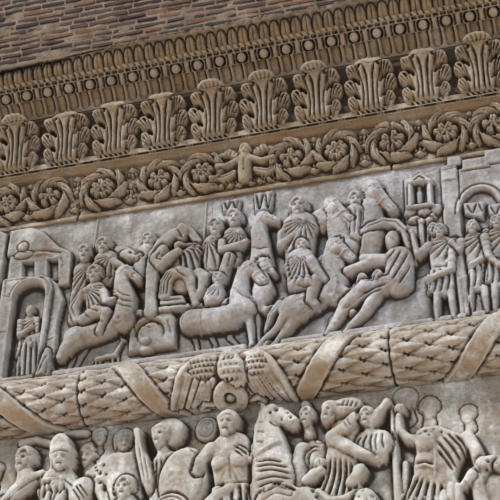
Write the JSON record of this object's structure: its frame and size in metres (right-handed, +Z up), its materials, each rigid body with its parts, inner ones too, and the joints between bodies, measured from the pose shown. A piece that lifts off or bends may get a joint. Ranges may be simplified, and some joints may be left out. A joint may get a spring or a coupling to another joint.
{
  "type": "relief-clad pier of a triumphal arch",
  "caption": "Free-standing marble-clad pier of a triumphal arch with stacked relief bands, leaf garlands, scroll frieze, acanthus cornice and brickwork above.",
  "frame": {"origin": "middle of the footing's underside, on the ground", "axes": "+Z up along the pier; -Y out of the front, the carved face with the procession and the winged figure"},
  "size_m": [5.208, 3.752, 11.504],
  "materials": {
    "brick": "fired brick in thick tan mortar",
    "marble_ochre": "marble with an ochre patina",
    "marble_pale": "weathered marble, sunlit and pale",
    "marble_relief": "weathered marble, grey in the hollows",
    "marble_socle": "plain weathered marble",
    "rubble_core": "rubble masonry in lime mortar"
  },
  "bodies": {
    "root": {"base_moulding": "marble_socle", "brickwork": "brick", "core": "rubble_core", "cornice_bed": "marble_ochre", "cornice_corona": "marble_ochre", "cornice_crown": "marble_ochre", "cornice_leaves": "marble_ochre", "footing": "marble_socle", "frieze_back": "marble_ochre", "frieze_front": "marble_ochre", "frieze_left": "marble_ochre", "frieze_right": "marble_ochre", "garland_1": "marble_pale", "garland_2": "marble_pale", "garland_3": "marble_pale", "register_1_back": "marble_relief", "register_1_front": "marble_relief", "register_1_left": "marble_relief", "register_1_right": "marble_relief", "register_2_back": "marble_pale", "register_2_front": "marble_pale", "register_2_left": "marble_pale", "register_2_right": "marble_pale", "register_3_back": "marble_pale", "register_3_front": "marble_pale", "register_3_left": "marble_pale", "register_3_right": "marble_pale", "register_4_back": "marble_pale", "register_4_front": "marble_pale", "register_4_left": "marble_pale", "register_4_right": "marble_pale", "socle": "marble_socle"}
  },
  "joints": []
}
